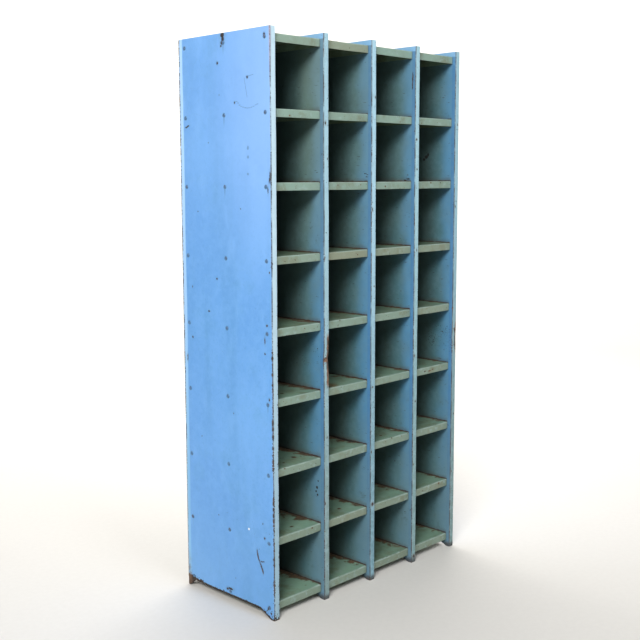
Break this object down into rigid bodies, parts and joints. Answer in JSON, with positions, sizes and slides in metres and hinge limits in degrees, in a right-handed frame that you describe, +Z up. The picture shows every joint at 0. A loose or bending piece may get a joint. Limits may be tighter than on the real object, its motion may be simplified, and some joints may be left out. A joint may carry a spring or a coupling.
{
  "type": "open-front pigeonhole mail sorter",
  "caption": "Tall free-standing painted sheet-steel pigeonhole cabinet for sorting mail, with open-front compartments formed by full-height uprights and riveted shelf pans.",
  "frame": {"origin": "centre of the bounding box in plan, at floor level, under the feet of the uprights", "axes": "+Z up, the open front faces -Y, +X to the right seen from the front"},
  "size_m": [0.8224, 0.3824, 1.6],
  "materials": {
    "side_panel_blue": "semi-gloss sky-blue enamel, chipped and scratched",
    "upright_blue": "worn pale blue enamel with rust at the edges",
    "shelf_grey_green": "worn grey-green enamel, rust where it meets the uprights",
    "back_panel_paint": "dull blue-grey enamel",
    "rivet_paint": "painted over, worn at the crown"
  },
  "bodies": {
    "root": {"left_side_panel": "side_panel_blue", "partition_1": "upright_blue", "partition_2": "upright_blue", "partition_3": "upright_blue", "right_side_panel": "upright_blue", "shelf_pan_bay1_tier0": "shelf_grey_green", "shelf_pan_bay1_tier1": "shelf_grey_green", "shelf_pan_bay1_tier2": "shelf_grey_green", "shelf_pan_bay1_tier3": "shelf_grey_green", "shelf_pan_bay1_tier4": "shelf_grey_green", "shelf_pan_bay1_tier5": "shelf_grey_green", "shelf_pan_bay1_tier6": "shelf_grey_green", "shelf_pan_bay1_tier7": "shelf_grey_green", "shelf_pan_bay1_tier8": "shelf_grey_green", "shelf_pan_bay2_tier0": "shelf_grey_green", "shelf_pan_bay2_tier1": "shelf_grey_green", "shelf_pan_bay2_tier2": "shelf_grey_green", "shelf_pan_bay2_tier3": "shelf_grey_green", "shelf_pan_bay2_tier4": "shelf_grey_green", "shelf_pan_bay2_tier5": "shelf_grey_green", "shelf_pan_bay2_tier6": "shelf_grey_green", "shelf_pan_bay2_tier7": "shelf_grey_green", "shelf_pan_bay2_tier8": "shelf_grey_green", "shelf_pan_bay3_tier0": "shelf_grey_green", "shelf_pan_bay3_tier1": "shelf_grey_green", "shelf_pan_bay3_tier2": "shelf_grey_green", "shelf_pan_bay3_tier3": "shelf_grey_green", "shelf_pan_bay3_tier4": "shelf_grey_green", "shelf_pan_bay3_tier5": "shelf_grey_green", "shelf_pan_bay3_tier6": "shelf_grey_green", "shelf_pan_bay3_tier7": "shelf_grey_green", "shelf_pan_bay3_tier8": "shelf_grey_green", "shelf_pan_bay4_tier0": "shelf_grey_green", "shelf_pan_bay4_tier1": "shelf_grey_green", "shelf_pan_bay4_tier2": "shelf_grey_green", "shelf_pan_bay4_tier3": "shelf_grey_green", "shelf_pan_bay4_tier4": "shelf_grey_green", "shelf_pan_bay4_tier5": "shelf_grey_green", "shelf_pan_bay4_tier6": "shelf_grey_green", "shelf_pan_bay4_tier7": "shelf_grey_green", "shelf_pan_bay4_tier8": "shelf_grey_green", "back_panel": "back_panel_paint", "rivets_left_side_panel": "rivet_paint", "rivets_partition_1": "rivet_paint", "rivets_partition_2": "rivet_paint", "rivets_partition_3": "rivet_paint", "rivets_right_side_panel": "rivet_paint", "rivets_back_panel": "rivet_paint"}
  },
  "joints": []
}
